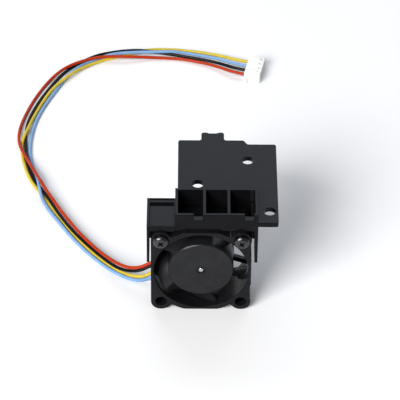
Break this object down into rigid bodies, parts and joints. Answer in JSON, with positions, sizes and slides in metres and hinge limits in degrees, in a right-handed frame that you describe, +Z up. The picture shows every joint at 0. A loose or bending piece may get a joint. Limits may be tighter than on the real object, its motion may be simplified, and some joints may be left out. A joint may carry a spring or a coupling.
{
  "type": "hotend cooling fan assembly",
  "caption": "Small axial cooling fan in a bracket under a flat mounting plate with a latching shroud, with a wire lead and crimp connector.",
  "frame": {"origin": "on the surface that the module stands on, under the middle of the module without its lead", "axes": "+Y from the fan's face towards the plate's tail, +X to the right as seen from the front, +Z up"},
  "size_m": [0.0687, 0.111, 0.0303],
  "materials": {
    "plate_black": "glossy moulded black",
    "bracket_black": "glossy moulded black",
    "screw_black": "glossy black, domed",
    "fan_black": "satin moulded black",
    "impeller_black": "satin moulded black",
    "sintered_bronze": "oiled, matte",
    "seal_rubber": "matte",
    "pad_plastic": "smooth",
    "core_steel": "laminated sheet, dull",
    "insulator_white": "smooth",
    "coil_copper": "enamelled winding",
    "board_green": "solder mask over glass fibre",
    "chip_black": "moulded epoxy",
    "capacitor_tan": "ceramic",
    "solder_tin": "bright",
    "label_white": "printed film without text",
    "yoke_steel": "drawn sheet, plated",
    "magnet_ferrite": "bonded ferrite, dull",
    "shaft_steel": "ground",
    "clip_nylon": "smooth",
    "housing_white": "moulded nylon",
    "terminal_tin": "tin plated",
    "wire_red": "smooth insulation",
    "wire_black": "smooth insulation",
    "wire_yellow": "smooth insulation",
    "wire_blue": "smooth insulation"
  },
  "bodies": {
    "module": {"mounting_plate": "plate_black", "fan_bracket": "bracket_black", "fan_screws": "screw_black", "fan_frame": "fan_black", "bearing_sleeve": "sintered_bronze", "oil_seal": "seal_rubber", "thrust_pad": "pad_plastic", "stator_core": "core_steel", "stator_insulators": "insulator_white", "stator_coils": "coil_copper", "driver_board": "board_green", "hall_sensor": "chip_black", "driver_chip": "chip_black", "board_capacitor": "capacitor_tan", "solder_joints": "solder_tin", "rear_label": "label_white", "connector_housing": "housing_white", "connector_terminals": "terminal_tin", "wire_red": "wire_red", "wire_black": "wire_black", "wire_yellow": "wire_yellow", "wire_blue": "wire_blue"},
    "rotor": {"impeller": "impeller_black", "rotor_yoke": "yoke_steel", "rotor_magnet": "magnet_ferrite", "rotor_shaft": "shaft_steel", "shaft_clip": "clip_nylon"}
  },
  "joints": [
    {"name": "impeller_spin", "type": "hinge", "parent": "module", "child": "rotor", "pos_m": [-0.00275, -0.013, 0.0125], "axis": [0, -1, 0], "continuous": true}
  ]
}
